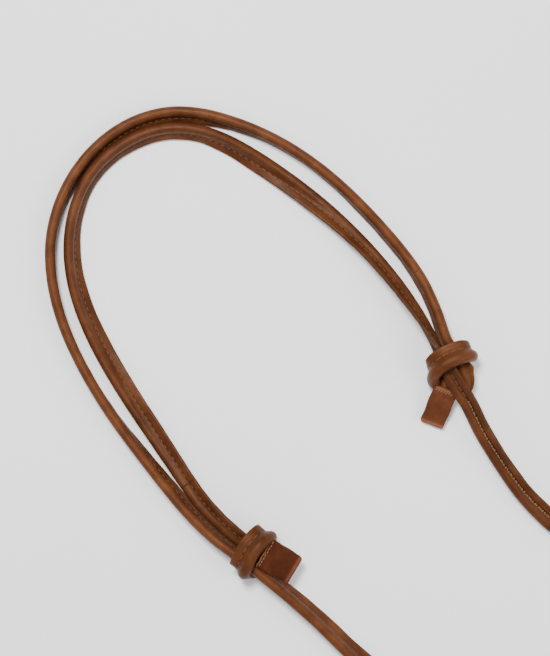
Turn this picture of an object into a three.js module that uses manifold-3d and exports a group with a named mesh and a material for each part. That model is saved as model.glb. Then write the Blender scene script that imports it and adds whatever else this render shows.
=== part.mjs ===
// Adjustable shoulder strap made of two rolled (corded) leather straps.
// Each strap ends in a sliding knot tied round the other strap, and a folded leather tab.
// Millimetres, +Z up. The strap lies flat on z = 0, the loop's top points to +Y.
import * as THREE from "three";
import { mergeVertices } from "three/addons/utils/BufferGeometryUtils.js";
import Module from "manifold-3d";

// Driving dimensions
const ROLL_RADIUS = 4; // leather roll round the core cord
const FLANGE_REACH = 12; // from the roll's centre to the cut edge
const FLANGE_HALF = 1.3; // two leather layers, glued and stitched
const BORE_RADIUS = 2.6; // inside of the roll
const CORE_RADIUS = 2.2; // core cord
const TAB_WIDTH = 19;
const TAB_THICK = 4.6;
const KNOT_LIFT = 18; // height of the straps' rolls inside the knots
const END_LIFT = 7.8; // height of the strap ends and the hooks
const CHAPE_WIDTH = 17;
const EYE_WIRE = 1.75; // radius of the eye's bar
const POST_RADIUS = 1.85;
const HOOK_WIRE = 2.3;
const GATE_WIRE = 1.8;
const PIVOT = [46.5, 5.5]; // gate pin, along and across the hook
const GAP = 0.3; // clearance between touching pieces

const wasm = await Module();
wasm.setup();

const part = new THREE.Group();
part.name = "knotted_leather_strap";

function leather(color, roughness = 0.55) {
  return new THREE.MeshStandardMaterial({ color, roughness, metalness: 0 });
}

function brass() {
  return new THREE.MeshStandardMaterial({ color: 0xb08d57, roughness: 0.3, metalness: 1 });
}

function addMesh(parent, name, geometry, material) {
  const mesh = new THREE.Mesh(geometry, material);
  mesh.name = name;
  parent.add(mesh);
  return mesh;
}

// Booleans
function toSolid(geometry) {
  const bare = (geometry.index ? geometry.toNonIndexed() : geometry).clone();
  bare.deleteAttribute("normal");
  bare.deleteAttribute("uv");
  const merged = mergeVertices(bare, 1e-3);
  return new wasm.Manifold(
    new wasm.Mesh({
      numProp: 3,
      vertProperties: merged.attributes.position.array,
      triVerts: new Uint32Array(merged.index.array),
    }),
  );
}

function toGeometry(solid) {
  const mesh = solid.getMesh();
  const geometry = new THREE.BufferGeometry();
  geometry.setAttribute("position", new THREE.BufferAttribute(mesh.vertProperties, 3));
  geometry.setIndex(new THREE.BufferAttribute(mesh.triVerts, 1));
  geometry.computeVertexNormals();
  return geometry;
}

function join(...geometries) {
  return toGeometry(geometries.map(toSolid).reduce((a, b) => a.add(b)));
}

function cut(body, ...tools) {
  return toGeometry(tools.map(toSolid).reduce((a, b) => a.subtract(b), toSolid(body)));
}

// A strap's route: the roll's centre line, and the way the flange points.
class StrapRoute extends THREE.CatmullRomCurve3 {
  constructor(points, flangeAt) {
    super(points, false, "centripetal");
    this.flangeAt = flangeAt;
  }

  computeFrenetFrames(segments) {
    const tangents = [];
    const normals = [];
    const binormals = [];
    for (let i = 0; i <= segments; i++) {
      const tangent = this.getTangentAt(i / segments);
      const place = this.getUtoTmapping(i / segments) * (this.points.length - 1);
      const normal = this.flangeAt(place, tangent);
      normal.addScaledVector(tangent, -normal.dot(tangent)).normalize();
      tangents.push(tangent);
      normals.push(normal);
      binormals.push(new THREE.Vector3().crossVectors(tangent, normal));
    }
    return { tangents, normals, binormals };
  }
}

function between(list, place) {
  const low = Math.min(Math.floor(place), list.length - 2);
  return [list[low], list[low + 1], place - low];
}

// Route on the table: each row is x, y, z and the flange's angle in degrees,
// 0 towards the inside of the loop, 90 straight up, -90 straight down.
function tableRoute(rows) {
  const flangeAt = (place, tangent) => {
    const [a, b, t] = between(rows, place);
    const angle = THREE.MathUtils.degToRad(a[3] + (b[3] - a[3]) * t);
    const inward = new THREE.Vector3(-tangent.y, tangent.x, 0).normalize();
    return inward.multiplyScalar(Math.cos(angle)).add(new THREE.Vector3(0, 0, Math.sin(angle)));
  };
  return new StrapRoute(rows.map((r) => new THREE.Vector3(r[0], r[1], r[2])), flangeAt);
}

function sweep(shape, route, steps) {
  return new THREE.ExtrudeGeometry(shape, { steps, extrudePath: route, bevelEnabled: false });
}

function ringPoints(radius, sides, turn = 0) {
  const points = [];
  for (let i = 0; i < sides; i++) {
    const a = turn + (i * 2 * Math.PI) / sides;
    points.push(new THREE.Vector2(radius * Math.cos(a), radius * Math.sin(a)));
  }
  return points;
}

// Section: a roll with a flat flange along +x
function strapSection(bored) {
  const open = Math.asin(FLANGE_HALF / ROLL_RADIUS);
  const points = [new THREE.Vector2(FLANGE_REACH, -FLANGE_HALF), new THREE.Vector2(FLANGE_REACH, FLANGE_HALF)];
  const arcs = 8;
  for (let i = 0; i <= arcs; i++) {
    const a = open + ((2 * Math.PI - 2 * open) * i) / arcs;
    points.push(new THREE.Vector2(ROLL_RADIUS * Math.cos(a), ROLL_RADIUS * Math.sin(a)));
  }
  const shape = new THREE.Shape(points);
  if (bored) shape.holes.push(new THREE.Path(ringPoints(BORE_RADIUS, 6)));
  return shape;
}

// Knots: local rows are across (l), along the strap away from the loop (s), and up.
const RIGHT_KNOT = { at: [106.3, -24.3], across: [0.9236, -0.3834], along: [-0.3834, -0.9236] };
const LEFT_KNOT = { at: [-112.3, -37.2], across: [0.9833, 0.1819], along: [0.1819, -0.9833] };

function inKnot(knot, l, s) {
  return [
    knot.at[0] + knot.across[0] * l + knot.along[0] * s,
    knot.at[1] + knot.across[1] * l + knot.along[1] * s,
  ];
}

function knotRoute(knot, rows) {
  const toward = new THREE.Vector3(-knot.along[0], -knot.along[1], 0);
  const points = rows.map(([l, s, z]) => new THREE.Vector3(...inKnot(knot, l, s), z));
  return new StrapRoute(points, () => toward.clone());
}

const Z = KNOT_LIFT;

// Strap A: from its hook, straight through the right knot, inner strand of the loop
const ROUTE_A = [
  [89.1, -222.8, END_LIFT, 180],
  [87.7, -203.9, END_LIFT, 178],
  [82.8, -194.4, 8, 160],
  [80.6, -166.5, 8.5, 145],
  [79.6, -140.1, 11, 138],
  [82.0, -110.0, 15, 135],
  [86.1, -81.0, Z, 135],
  [...inKnot(RIGHT_KNOT, -2.3, 29.3), Z, 135],
  [...inKnot(RIGHT_KNOT, -2.4, 12), Z, 135],
  [...inKnot(RIGHT_KNOT, -2.6, 0), Z, 135],
  [...inKnot(RIGHT_KNOT, -4.8, -8.5), Z, 112],
  [...inKnot(RIGHT_KNOT, -9.2, -18.5), Z, 84],
  [109.7, 19.2, 16.2, 68],
  [112.8, 42.5, 13.5, 59],
  [114.1, 65.8, 10.7, 53],
  [113.9, 89.3, 8.5, 47],
  [112.2, 112.6, 6.9, 40],
  [109.2, 135.7, 5.8, 29],
  [104.8, 158.7, 5.2, 14],
  [99.2, 181.4, 5, -3],
  [92.3, 203.9, 6.3, -20],
  [83.7, 225.8, 8.7, -35],
  [72.0, 245.9, 10.4, -47],
  [55.8, 262.5, 10.9, -50],
  [35.3, 273.6, 10.9, -50],
  [12.1, 278.5, 11.4, -55],
  [-11.2, 277.7, 11.9, -60],
  [-33.1, 270.8, 11.9, -60],
  [-53.1, 258.5, 11.4, -55],
  [-70.2, 242.0, 10.8, -49],
  [-83.5, 223.0, 9.9, -42],
  [-93.5, 202.1, 8.6, -34],
  [-101.0, 179.9, 7, -25],
  [-106.5, 157.2, 5.4, -12],
  [-110.5, 134.1, 4.8, 3],
  [-113.5, 110.8, 5, 15],
  [-115.8, 87.5, 5.8, 22],
  [-117.9, 64.2, 7.9, 28],
  [-120.0, 40.9, 10.9, 33],
  [-120.9, 17.7, 14.3, 39],
  [...inKnot(LEFT_KNOT, -0.5, -32), 17.5, 44],
  [...inKnot(LEFT_KNOT, -0.6, -14.3), Z, 45],
  [...inKnot(LEFT_KNOT, -0.5, -6), Z, 45],
  [...inKnot(LEFT_KNOT, 0, 0), Z, 45],
];

// Strap B: from the right knot, outer strand of the loop, through the left knot to its hook
const ROUTE_B = [
  [...inKnot(RIGHT_KNOT, 6.4, 0), Z, -42],
  [...inKnot(RIGHT_KNOT, 6.0, -3), Z, -42],
  [...inKnot(RIGHT_KNOT, 4.5, -9), Z, -50],
  [...inKnot(RIGHT_KNOT, 0.8, -18), Z, -65],
  [122.8, 15.8, 16.6, -68],
  [129.6, 39.9, 14.4, -66],
  [132.3, 64.7, 12.9, -67],
  [132.5, 90.0, 12.3, -68],
  [131.3, 115.3, 12.4, -70],
  [128.6, 140.6, 12.5, -72],
  [124.0, 165.4, 12.6, -74],
  [117.2, 189.5, 12.6, -74],
  [107.9, 212.6, 12.5, -71],
  [95.9, 234.9, 11.8, -62],
  [81.2, 256.0, 10.5, -49],
  [63.0, 273.4, 9.5, -41],
  [41.0, 284.8, 9.4, -40],
  [16.6, 290.1, 9.6, -42],
  [-8.7, 289.4, 10.8, -52],
  [-33.4, 283.2, 11.9, -63],
  [-56.3, 272.0, 12.6, -75],
  [-76.2, 256.6, 12.8, -85],
  [-92.2, 237.6, 12.8, -87],
  [-104.7, 216.0, 12.8, -85],
  [-114.2, 192.5, 12.8, -83],
  [-121.0, 168.0, 12.8, -82],
  [-125.9, 143.2, 12.8, -80],
  [-129.1, 118.2, 12.9, -77],
  [-131.0, 93.1, 13.2, -70],
  [-132.2, 68.0, 13.8, -63],
  [-132.9, 42.7, 15, -56],
  [-132.5, 17.5, 16.7, -52],
  [...inKnot(LEFT_KNOT, -11.9, -32), Z, -50],
  [...inKnot(LEFT_KNOT, -10.9, -12.2), Z + 2.3, -60],
  [...inKnot(LEFT_KNOT, -10.1, 0), Z + 2.3, -60],
  [...inKnot(LEFT_KNOT, -10.0, 22), Z + 2.3, -60],
  [...inKnot(LEFT_KNOT, -9.9, 40.3), Z + 2.3, -60],
  [-109.8, -113.3, Z, -52],
  [-106.7, -148.4, 13.5, -48],
  [-103.7, -168.6, 10.5, -24],
  [-101.0, -185.8, END_LIFT, -3],
  [-98.2, -204.6, END_LIFT, 0],
];

function addStrap(label, rows, steps, tint) {
  const route = tableRoute(rows);
  addMesh(part, `strap_${label}_cover`, sweep(strapSection(true), route, steps), leather(tint));
  const core = new THREE.Shape(ringPoints(CORE_RADIUS, 6));
  addMesh(part, `strap_${label}_core`, sweep(core, route, steps), leather(0xc9b48c, 0.9));
}

addStrap("a", ROUTE_A, 88, 0x6e4228);
addStrap("b", ROUTE_B, 84, 0x7a4a2c);

// Tied end of strap B: behind strap A, over both straps, behind them and out under the band
const RIGHT_TURN = [
  [6.45, 0.4, Z],
  [6.6, 2.4, Z],
  [6.8, 8, Z],
  [6.8, 15, 16.5],
  [5, 21, 12.5],
  [0, 24.5, 7.5],
  [-6.5, 22.5, 4.7],
  [-12.5, 18, 4.4],
  [-17.0, 13.3, 7],
  [-19, 10, 13],
  [-18.8, 6.6, 19.8],
  [-16.6, 3.4, 26.2],
  [-9.4, -0.4, 30.8],
  [-1, -2.2, 32.4],
  [7, -2.4, 32],
  [12.8, -1.6, 28.2],
  [15.4, -0.6, 22],
  [15.6, 0, 14],
  [13, 0, 7.5],
  [7, -0.4, 4.4],
  [0, -0.3, 4.3],
  [-6, 1.8, 5.2],
  [-9.6, 6, 8],
  [-10.4, 11, 9.8],
  [-10.6, 13.6, 10],
];
// Tied end of strap A: behind strap B, over both straps, behind strap A and up between them
const LEFT_TURN = [
  [0, 0.4, Z],
  [0.2, 2.4, Z],
  [2.8, 6.6, Z],
  [7.2, 11.5, 17.3],
  [7.6, 16, 14.5],
  [3, 20.5, 8.6],
  [-4, 20, 4.7],
  [-11, 15.5, 4.3],
  [-16.5, 10, 6.5],
  [-18.4, 7.4, 12],
  [-18.8, 6, 19],
  [-16.8, 5, 26.2],
  [-10.6, 3, 30.8],
  [-2, 0.8, 32.6],
  [6.4, 0.3, 32.4],
  [12.8, 1.6, 29],
  [16.4, 4, 21.4],
  [15.4, 4.4, 13],
  [11, 2, 6.2],
  [5, 0, 4.4],
  [-0.2, 2, 5.5],
  [1, 6, 10],
  [1.5, 10, 16],
  [1.5, 11, 19.2],
];

// The whole turn as a bare roll, with the flange joined on where the band lies on top
function knotSolid(knot, rows, first, last) {
  const roll = sweep(new THREE.Shape(ringPoints(ROLL_RADIUS, 8, Math.PI / 8)), knotRoute(knot, rows), 46);
  const flange = new THREE.Shape([
    new THREE.Vector2(2, -FLANGE_HALF),
    new THREE.Vector2(FLANGE_REACH, -FLANGE_HALF),
    new THREE.Vector2(FLANGE_REACH, FLANGE_HALF),
    new THREE.Vector2(2, FLANGE_HALF),
  ]);
  return join(roll, sweep(flange, knotRoute(knot, rows.slice(first, last)), 24));
}

addMesh(part, "strap_b_knot", knotSolid(RIGHT_KNOT, RIGHT_TURN, 8, 18), leather(0x744629));
addMesh(part, "strap_a_knot", knotSolid(LEFT_KNOT, LEFT_TURN, 8, 18), leather(0x6a3f26));

// Folded tab: a flat plate with rounded far corners, from one local point to another
function tabPlate(knot, from, to, nearWidth) {
  const a = new THREE.Vector3(...inKnot(knot, from[0], from[1]), from[2]);
  const b = new THREE.Vector3(...inKnot(knot, to[0], to[1]), to[2]);
  const length = a.distanceTo(b);
  const round = 3;
  const half = TAB_WIDTH / 2;
  const shape = new THREE.Shape();
  shape.moveTo(0, -nearWidth / 2);
  shape.lineTo(length - round, -half);
  shape.absarc(length - round, -half + round, round, -Math.PI / 2, 0);
  shape.absarc(length - round, half - round, round, 0, Math.PI / 2);
  shape.lineTo(0, nearWidth / 2);
  const plate = new THREE.ExtrudeGeometry(shape, { depth: TAB_THICK, bevelEnabled: false, curveSegments: 4 });
  plate.translate(0, 0, -TAB_THICK / 2);
  const x = new THREE.Vector3().subVectors(b, a).normalize();
  const y = new THREE.Vector3(0, 0, 1).cross(x).normalize();
  const z = new THREE.Vector3().crossVectors(x, y);
  plate.applyMatrix4(new THREE.Matrix4().makeBasis(x, y, z));
  plate.translate(a.x, a.y, a.z);
  return plate;
}

addMesh(part, "strap_b_tab", tabPlate(RIGHT_KNOT, [-12.9, 21.9, 13.2], [-30.6, 42.6, 3.6], 19), leather(0x6b3d2b));
addMesh(part, "strap_a_tab", tabPlate(LEFT_KNOT, [5.6, 9.6, 24.8], [8.3, 36.2, 22.4], 24), leather(0x552e1a));

// Swivel hook: u runs outwards from the strap's end, v across, z up from the strap's centre
function upright(radius, height, u, v, sides = 16) {
  const cylinder = new THREE.CylinderGeometry(radius, radius, height, sides);
  cylinder.rotateX(Math.PI / 2);
  cylinder.translate(u, v, 0);
  return cylinder;
}

function lengthwise(radius, from, to, sides = 16) {
  const cylinder = new THREE.CylinderGeometry(radius, radius, to - from, sides);
  cylinder.rotateZ(Math.PI / 2);
  cylinder.translate((from + to) / 2, 0, 0);
  return cylinder;
}

function wire(points, radius, closed, steps) {
  const curve = new THREE.CatmullRomCurve3(
    points.map(([u, v]) => new THREE.Vector3(u, v, 0)),
    closed,
    "centripetal",
  );
  return sweep(new THREE.Shape(ringPoints(radius, 8)), curve, steps);
}

function chape() {
  const shape = new THREE.Shape();
  shape.moveTo(-18, -6.4);
  shape.lineTo(3, -6.4);
  shape.lineTo(21.6, -4.1);
  shape.absarc(22, 0, 4.15, -Math.PI / 2, Math.PI / 2);
  shape.lineTo(3, 6.4);
  shape.lineTo(-18, 6.4);
  shape.lineTo(-18, 4.4);
  shape.lineTo(1.5, 4.4);
  shape.lineTo(21.6, 2.15);
  shape.absarc(22, 0, 2.15, Math.PI / 2, -Math.PI / 2, true);
  shape.lineTo(1.5, -4.4);
  shape.lineTo(-18, -4.4);
  const body = new THREE.ExtrudeGeometry(shape, { depth: CHAPE_WIDTH, bevelEnabled: false, curveSegments: 6 });
  body.rotateX(Math.PI / 2);
  body.translate(0, CHAPE_WIDTH / 2, 0);
  return cut(body, upright(1.8, 16, 9, 0));
}

function rivet() {
  const profile = [
    [0, -7.5],
    [2.4, -7.5],
    [3.2, -6.9],
    [3.2, -6.4],
    [1.5, -6.4],
    [1.5, 6.4],
    [3.2, 6.4],
    [3.2, 6.9],
    [2.4, 7.5],
    [0, 7.5],
  ];
  const body = new THREE.LatheGeometry(profile.map(([r, z]) => new THREE.Vector2(r, z)), 14);
  body.rotateX(Math.PI / 2);
  body.translate(9, 0, 0);
  return body;
}

function eye() {
  const corner = [[22, 0], [22, 4.5], [22, 9], [23.2, 11.2], [26.3, 11.6], [30, 8.6], [33, 4.5]];
  const other = corner.slice(1).reverse().map(([u, v]) => [u, -v]);
  const ring = wire([...corner, [34.2, 0], ...other], EYE_WIRE, true, 40);
  const collar = lengthwise(4, 31.4, 38);
  return cut(join(ring, collar), lengthwise(POST_RADIUS + GAP, 30, 40));
}

function hookBody() {
  const post = lengthwise(POST_RADIUS, 30, 40);
  const head = lengthwise(3.2, 28.6, 31.1);
  const shoulder = lengthwise(4, 38.3, 42);
  const bend = [[40.5, 0], [44, -3], [49, -7.5], [56, -9.3], [64, -8.2], [69, -3.8], [69.6, 2], [67, 6.6], [63.6, 8.3]];
  const lug = new THREE.BoxGeometry(9, 5, 7.4);
  lug.translate(43.6, 3.6, 0);
  const cheek = upright(3.2, 7.4, ...PIVOT);
  const slot = upright(3.9, 4.6, ...PIVOT);
  const body = join(post, head, shoulder, wire(bend, HOOK_WIRE, false, 26), lug, cheek);
  const room = new THREE.BoxGeometry(12, 12, 4.6);
  room.translate(PIVOT[0] + 6, PIVOT[1] + 3.2, 0);
  return cut(body, slot, room, upright(1.2, 10, ...PIVOT));
}

function gate() {
  const barrel = upright(2.6, 4, ...PIVOT);
  const bar = wire([PIVOT, [54, 6.9], [60.9, 7.9]], GATE_WIRE, false, 3);
  return cut(join(barrel, bar), upright(1.2, 10, ...PIVOT));
}

function addHook(label, at, heading) {
  const hook = new THREE.Group();
  hook.position.set(at[0], at[1], END_LIFT);
  hook.rotation.z = THREE.MathUtils.degToRad(heading);
  part.add(hook);
  addMesh(hook, `hook_${label}_chape`, chape(), leather(0x5f3620));
  addMesh(hook, `hook_${label}_rivet`, rivet(), brass());
  addMesh(hook, `hook_${label}_eye`, eye(), brass());
  addMesh(hook, `hook_${label}_body`, hookBody(), brass());
  addMesh(hook, `hook_${label}_gate`, gate(), brass());
  addMesh(hook, `hook_${label}_gate_pin`, upright(0.9, 7.8, ...PIVOT, 10), brass());
}

addHook("a", [89.1, -222.8], -94.2);
addHook("b", [-98.2, -204.6], -81.6);

export default part;
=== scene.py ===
import math

import bpy
import numpy as np
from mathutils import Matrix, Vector


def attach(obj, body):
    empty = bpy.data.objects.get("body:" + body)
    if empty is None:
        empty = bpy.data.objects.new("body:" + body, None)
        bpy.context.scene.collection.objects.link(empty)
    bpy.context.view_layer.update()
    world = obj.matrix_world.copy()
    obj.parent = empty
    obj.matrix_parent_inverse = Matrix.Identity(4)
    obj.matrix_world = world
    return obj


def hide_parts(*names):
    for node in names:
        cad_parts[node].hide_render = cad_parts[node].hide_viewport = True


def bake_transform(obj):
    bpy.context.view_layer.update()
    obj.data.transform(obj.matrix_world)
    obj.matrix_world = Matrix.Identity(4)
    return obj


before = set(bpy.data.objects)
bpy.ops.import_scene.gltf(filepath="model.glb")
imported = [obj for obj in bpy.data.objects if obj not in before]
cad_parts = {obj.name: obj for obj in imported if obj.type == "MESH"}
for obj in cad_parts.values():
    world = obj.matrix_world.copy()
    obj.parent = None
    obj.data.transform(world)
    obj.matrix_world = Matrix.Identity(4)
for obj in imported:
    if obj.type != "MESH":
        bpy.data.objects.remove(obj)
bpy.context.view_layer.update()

MM = 0.001

# ---------------------------------------------------------------- camera
TURN = math.radians(-40)
camera = bpy.data.objects.new("camera", bpy.data.cameras.new("camera"))
camera.data.sensor_fit = "VERTICAL"
camera.data.sensor_height = 36
camera.data.lens = 100
camera.data.clip_end = 20
camera.location = (0.0154, 0.0876, 0.008 + 0.5248 * 100 / 36)
camera.rotation_euler = (0, 0, TURN)
bpy.context.scene.collection.objects.link(camera)
bpy.context.scene.camera = camera

# ---------------------------------------------------------------- routes, in mm, in the CAD frame
ROLL = 4.0  # radius of the roll
REACH = 12.0  # nominal distance from the roll's centre to the flange's edge
HALF = 1.3  # half the flange's thickness
MOUTH = math.radians(38)  # half the angle over which the roll opens into the flange
PROFILE = 8.7  # width of the flange's profile as drawn, which is then stretched to fit
SEAM = 2.55  # place of the stitched seam in that profile
PITCH = 5.6  # stitch length
Z, END_Z = 18, 7.8  # height of the roll's centre in the knots and in the chapes
RIGHT = dict(at=(106.3, -24.3), across=(0.9236, -0.3834), along=(-0.3834, -0.9236))
LEFT = dict(at=(-112.3, -37.2), across=(0.9833, 0.1819), along=(0.1819, -0.9833))


def spot(knot, l, s, z):
    return np.array([
        knot["at"][0] + knot["across"][0] * l + knot["along"][0] * s,
        knot["at"][1] + knot["across"][1] * l + knot["along"][1] * s,
        z,
    ], float)


def heading(knot, l, s, z):
    v = spot(knot, l, s, z) - spot(knot, 0, 0, 0)
    return v / np.linalg.norm(v)


def T(x, y, z, angle, reach=1.0, fat=1.05):
    """A row on the table: place, flange angle, flange reach, fatness."""
    return (np.array([x, y, z], float), angle, None, reach, fat)


def K(knot, l, s, z, angle=None, way=(0, -1, 0), reach=1.0, fat=1.05):
    """A row in a knot: place, and a flange angle or the way the flange points (l, s, up)."""
    return (spot(knot, l, s, z), angle, None if angle is not None else heading(knot, *way), reach, fat)


R, L = RIGHT, LEFT
A_END, B_END = (89.1, -222.8, END_Z), (-98.2, -204.6, END_Z)
ROUTE_A = [
    T(*A_END, 180, 0.3), T(89.9, -206.5, END_Z, 178, 0.32), T(87.0, -192.5, 7.8, 171, 0.55),
    T(82.8, -178.0, 8.1, 164, 0.96), T(80.6, -162.0, 8.9, 156), T(79.6, -140.1, 11, 146),
    T(82.0, -110.0, 15, 137), T(86.1, -81.0, Z, 135),
    K(R, -0.9, 34.6, Z, 135), K(R, -4.9, 20, Z, 135), K(R, -7.7, 6, Z, 132), K(R, -8.6, -4, Z, 118),
    K(R, -9.2, -18.5, Z, 84),
    T(109.7, 19.2, 16.2, 68), T(112.8, 42.5, 13.5, 59), T(114.1, 65.8, 10.7, 53), T(113.9, 89.3, 8.5, 47),
    T(112.2, 112.6, 6.9, 40), T(109.2, 135.7, 5.8, 29), T(104.8, 158.7, 5.2, 14), T(99.2, 181.4, 5, -3),
    T(92.3, 203.9, 6.3, -20), T(83.7, 225.8, 8.7, -35), T(72.0, 245.9, 10.4, -47), T(55.8, 262.5, 10.9, -50),
    T(35.3, 273.6, 10.9, -50), T(12.1, 278.5, 11.4, -55), T(-11.2, 277.7, 11.9, -60), T(-33.1, 270.8, 11.9, -60),
    T(-53.1, 258.5, 11.4, -55), T(-70.2, 242.0, 10.8, -49), T(-83.5, 223.0, 9.9, -42), T(-93.5, 202.1, 8.6, -34),
    T(-101.0, 179.9, 7, -25), T(-106.5, 157.2, 5.4, -12), T(-110.5, 134.1, 4.8, 3), T(-113.5, 110.8, 5, 15),
    T(-115.8, 87.5, 5.8, 22), T(-117.9, 64.2, 7.9, 28), T(-120.0, 40.9, 10.9, 33), T(-120.9, 17.7, 14.3, 39),
    K(L, -0.5, -32, 17.5, 44), K(L, -0.6, -14.3, Z, 45), K(L, -0.5, -6, Z, 45), K(L, 0, 0, Z, 45, reach=0.8),
]
ROUTE_B = [
    K(R, 4.6, 0, Z, -42, reach=0.35), K(R, 4.4, -3, Z, -42, reach=0.6), K(R, 3.4, -9, Z, -50),
    K(R, 0.8, -18, Z, -65),
    T(122.8, 15.8, 16.6, -68), T(129.6, 39.9, 14.4, -66), T(132.3, 64.7, 12.9, -67), T(132.5, 90.0, 12.3, -68),
    T(131.3, 115.3, 12.4, -70), T(128.6, 140.6, 12.5, -72), T(124.0, 165.4, 12.6, -74), T(117.2, 189.5, 12.6, -74),
    T(107.9, 212.6, 12.5, -71), T(95.9, 234.9, 11.8, -62), T(81.2, 256.0, 10.5, -49), T(63.0, 273.4, 9.5, -41),
    T(41.0, 284.8, 9.4, -40), T(16.6, 290.1, 9.6, -42), T(-8.7, 289.4, 10.8, -52), T(-33.4, 283.2, 11.9, -63),
    T(-56.3, 272.0, 12.6, -75), T(-76.2, 256.6, 12.8, -85), T(-92.2, 237.6, 12.8, -87), T(-104.7, 216.0, 12.8, -85),
    T(-114.2, 192.5, 12.8, -83), T(-121.0, 168.0, 12.8, -82), T(-125.9, 143.2, 12.8, -80), T(-129.1, 118.2, 12.9, -77),
    T(-131.0, 93.1, 13.2, -70), T(-132.2, 68.0, 13.8, -63), T(-132.9, 42.7, 15, -56), T(-132.5, 17.5, 16.7, -52),
    K(L, -11.9, -32, Z, -50), K(L, -10.9, -12.2, Z + 2.3, -60), K(L, -10.1, 0, Z + 2.3, -60),
    K(L, -10.0, 22, Z + 2.3, -58), K(L, -9.9, 40.3, Z + 2.3, -52), T(-109.8, -113.3, Z, -44),
    T(-106.7, -148.4, 13.5, -37), T(-104.3, -165.0, 11.0, -26, 0.88), T(-102.3, -177.0, 8.9, -16, 0.62),
    T(-101.0, -187.5, END_Z, -8, 0.4),
    T(*B_END, 0, 0.3),
]
OUT = (1, 0, 0.3)
RIGHT_TURN = [
    K(R, 4.65, 0.4, Z, way=OUT, reach=0.15), K(R, 4.8, 2.4, Z, way=OUT, reach=0.3),
    K(R, 5.2, 9, Z, way=OUT, reach=0.62), K(R, 5.8, 15, 16.5, way=(0.9, 0.4, -0.1), reach=0.32),
    K(R, 5, 21, 12.5, way=(0.5, 0.8, -0.2), reach=0.15), K(R, 0, 24.5, 7.5, way=(0, 1, 0), reach=0.1),
    K(R, -6.5, 22.5, 4.7, way=(-0.3, -0.5, 0.8), reach=0.1), K(R, -12.5, 18, 4.4, reach=0.15, fat=1.15),
    K(R, -17, 13.3, 7, reach=0.25, fat=1.22), K(R, -19, 10, 13, reach=0.5, fat=1.25),
    K(R, -18.8, 6.6, 19.8, reach=0.8, fat=1.25), K(R, -16.6, 3.4, 26.2, reach=1, fat=1.25),
    K(R, -9.4, -0.4, 30.6, reach=1.05, fat=1.27), K(R, -1, -2.2, 32.0, reach=1.05, fat=1.28),
    K(R, 7, -2.4, 31.6, reach=1.05, fat=1.27), K(R, 12.8, -1.6, 27.9, reach=0.95, fat=1.25),
    K(R, 15.4, -0.6, 22, reach=0.8, fat=1.22), K(R, 15.6, 0, 14, reach=0.8, fat=1.15),
    K(R, 13, 0, 7.5, reach=0.7), K(R, 7, -0.4, 4.4, reach=0.5), K(R, 0, -0.3, 4.4, reach=0.4),
    K(R, -6, 1.8, 5.2, reach=0.3), K(R, -9.6, 6, 8, way=(0, -0.5, 0.8), reach=0.3),
    K(R, -10.4, 11, 9.8, way=(-1, 0, 0.2), reach=0.3), K(R, -11.4, 16, 10, way=(-1, 0, 0), reach=0.3),
    K(R, -13, 20.5, 9.6, way=(-1, 0, 0), reach=0.2, fat=0.8),
]
LEFT_TURN = [
    K(L, 0, 0.4, Z, way=(0.7, 0, 0.7), reach=0.75), K(L, 0.2, 2.4, Z, way=(0.7, 0, 0.7), reach=0.5),
    K(L, 2.8, 6.6, Z, way=(0.5, 0, -0.7), reach=0.1), K(L, 7.2, 11.5, 17.3, way=(0, 0, -1), reach=0.08),
    K(L, 7.6, 16, 14.5, way=(0, 0, -1), reach=0.08), K(L, 3, 20.5, 8.6, reach=0.08),
    K(L, -4, 20, 4.7, reach=0.1), K(L, -11, 15.5, 4.4, reach=0.2), K(L, -15.6, 10, 6.5, reach=0.45, fat=1.15),
    K(L, -17.3, 7.2, 12, reach=0.75, fat=1.22), K(L, -17.6, 5.6, 19, reach=0.95, fat=1.25),
    K(L, -15.7, 4.6, 26.2, reach=1.08, fat=1.27), K(L, -9.6, 2.6, 30.6, reach=1.08, fat=1.28),
    K(L, -1, 0.3, 32.2, reach=1.08, fat=1.3), K(L, 7.6, -0.2, 32.0, reach=1.1, fat=1.3),
    K(L, 14.2, 0.9, 28.6, reach=1.1, fat=1.3), K(L, 18.0, 3.2, 21.4, reach=1.05, fat=1.27),
    K(L, 16.4, 4.0, 13, reach=0.9, fat=1.15), K(L, 11, 2, 6.2, reach=0.8), K(L, 5, 0, 4.4, reach=0.5),
    K(L, -0.2, 2, 5.5, reach=0.3), K(L, 1, 6, 10, way=(0, -0.7, 0.7), reach=0.2),
    K(L, 1.5, 9.6, 15, way=(1, 0, 0), reach=0.2), K(L, 1.6, 11.5, 19.2, way=(1, 0, 0), reach=0.2, fat=0.9),
]


def catmull(points, per=20):
    """Centripetal Catmull-Rom through points, and each sample's place in the list."""
    p = np.array(points)
    p = np.vstack([2 * p[0] - p[1], p, 2 * p[-1] - p[-2]])
    out, place = [], []
    for i in range(1, len(p) - 2):
        d = [max(np.linalg.norm(p[i + j + 1] - p[i + j]) ** 0.5, 1e-6) for j in (-1, 0, 1)]
        m1 = (p[i] - p[i - 1]) / d[0] - (p[i + 1] - p[i - 1]) / (d[0] + d[1]) + (p[i + 1] - p[i]) / d[1]
        m2 = (p[i + 1] - p[i]) / d[1] - (p[i + 2] - p[i]) / (d[1] + d[2]) + (p[i + 2] - p[i + 1]) / d[2]
        m1, m2 = m1 * d[1], m2 * d[1]
        last = i == len(p) - 3
        for k in range(per + (1 if last else 0)):
            t = k / per
            out.append(
                p[i] * (2 * t**3 - 3 * t * t + 1) + m1 * (t**3 - 2 * t * t + t)
                + p[i + 1] * (3 * t * t - 2 * t**3) + m2 * (t**3 - t * t)
            )
            place.append(i - 1 + t)
    return np.array(out), np.array(place)


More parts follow.
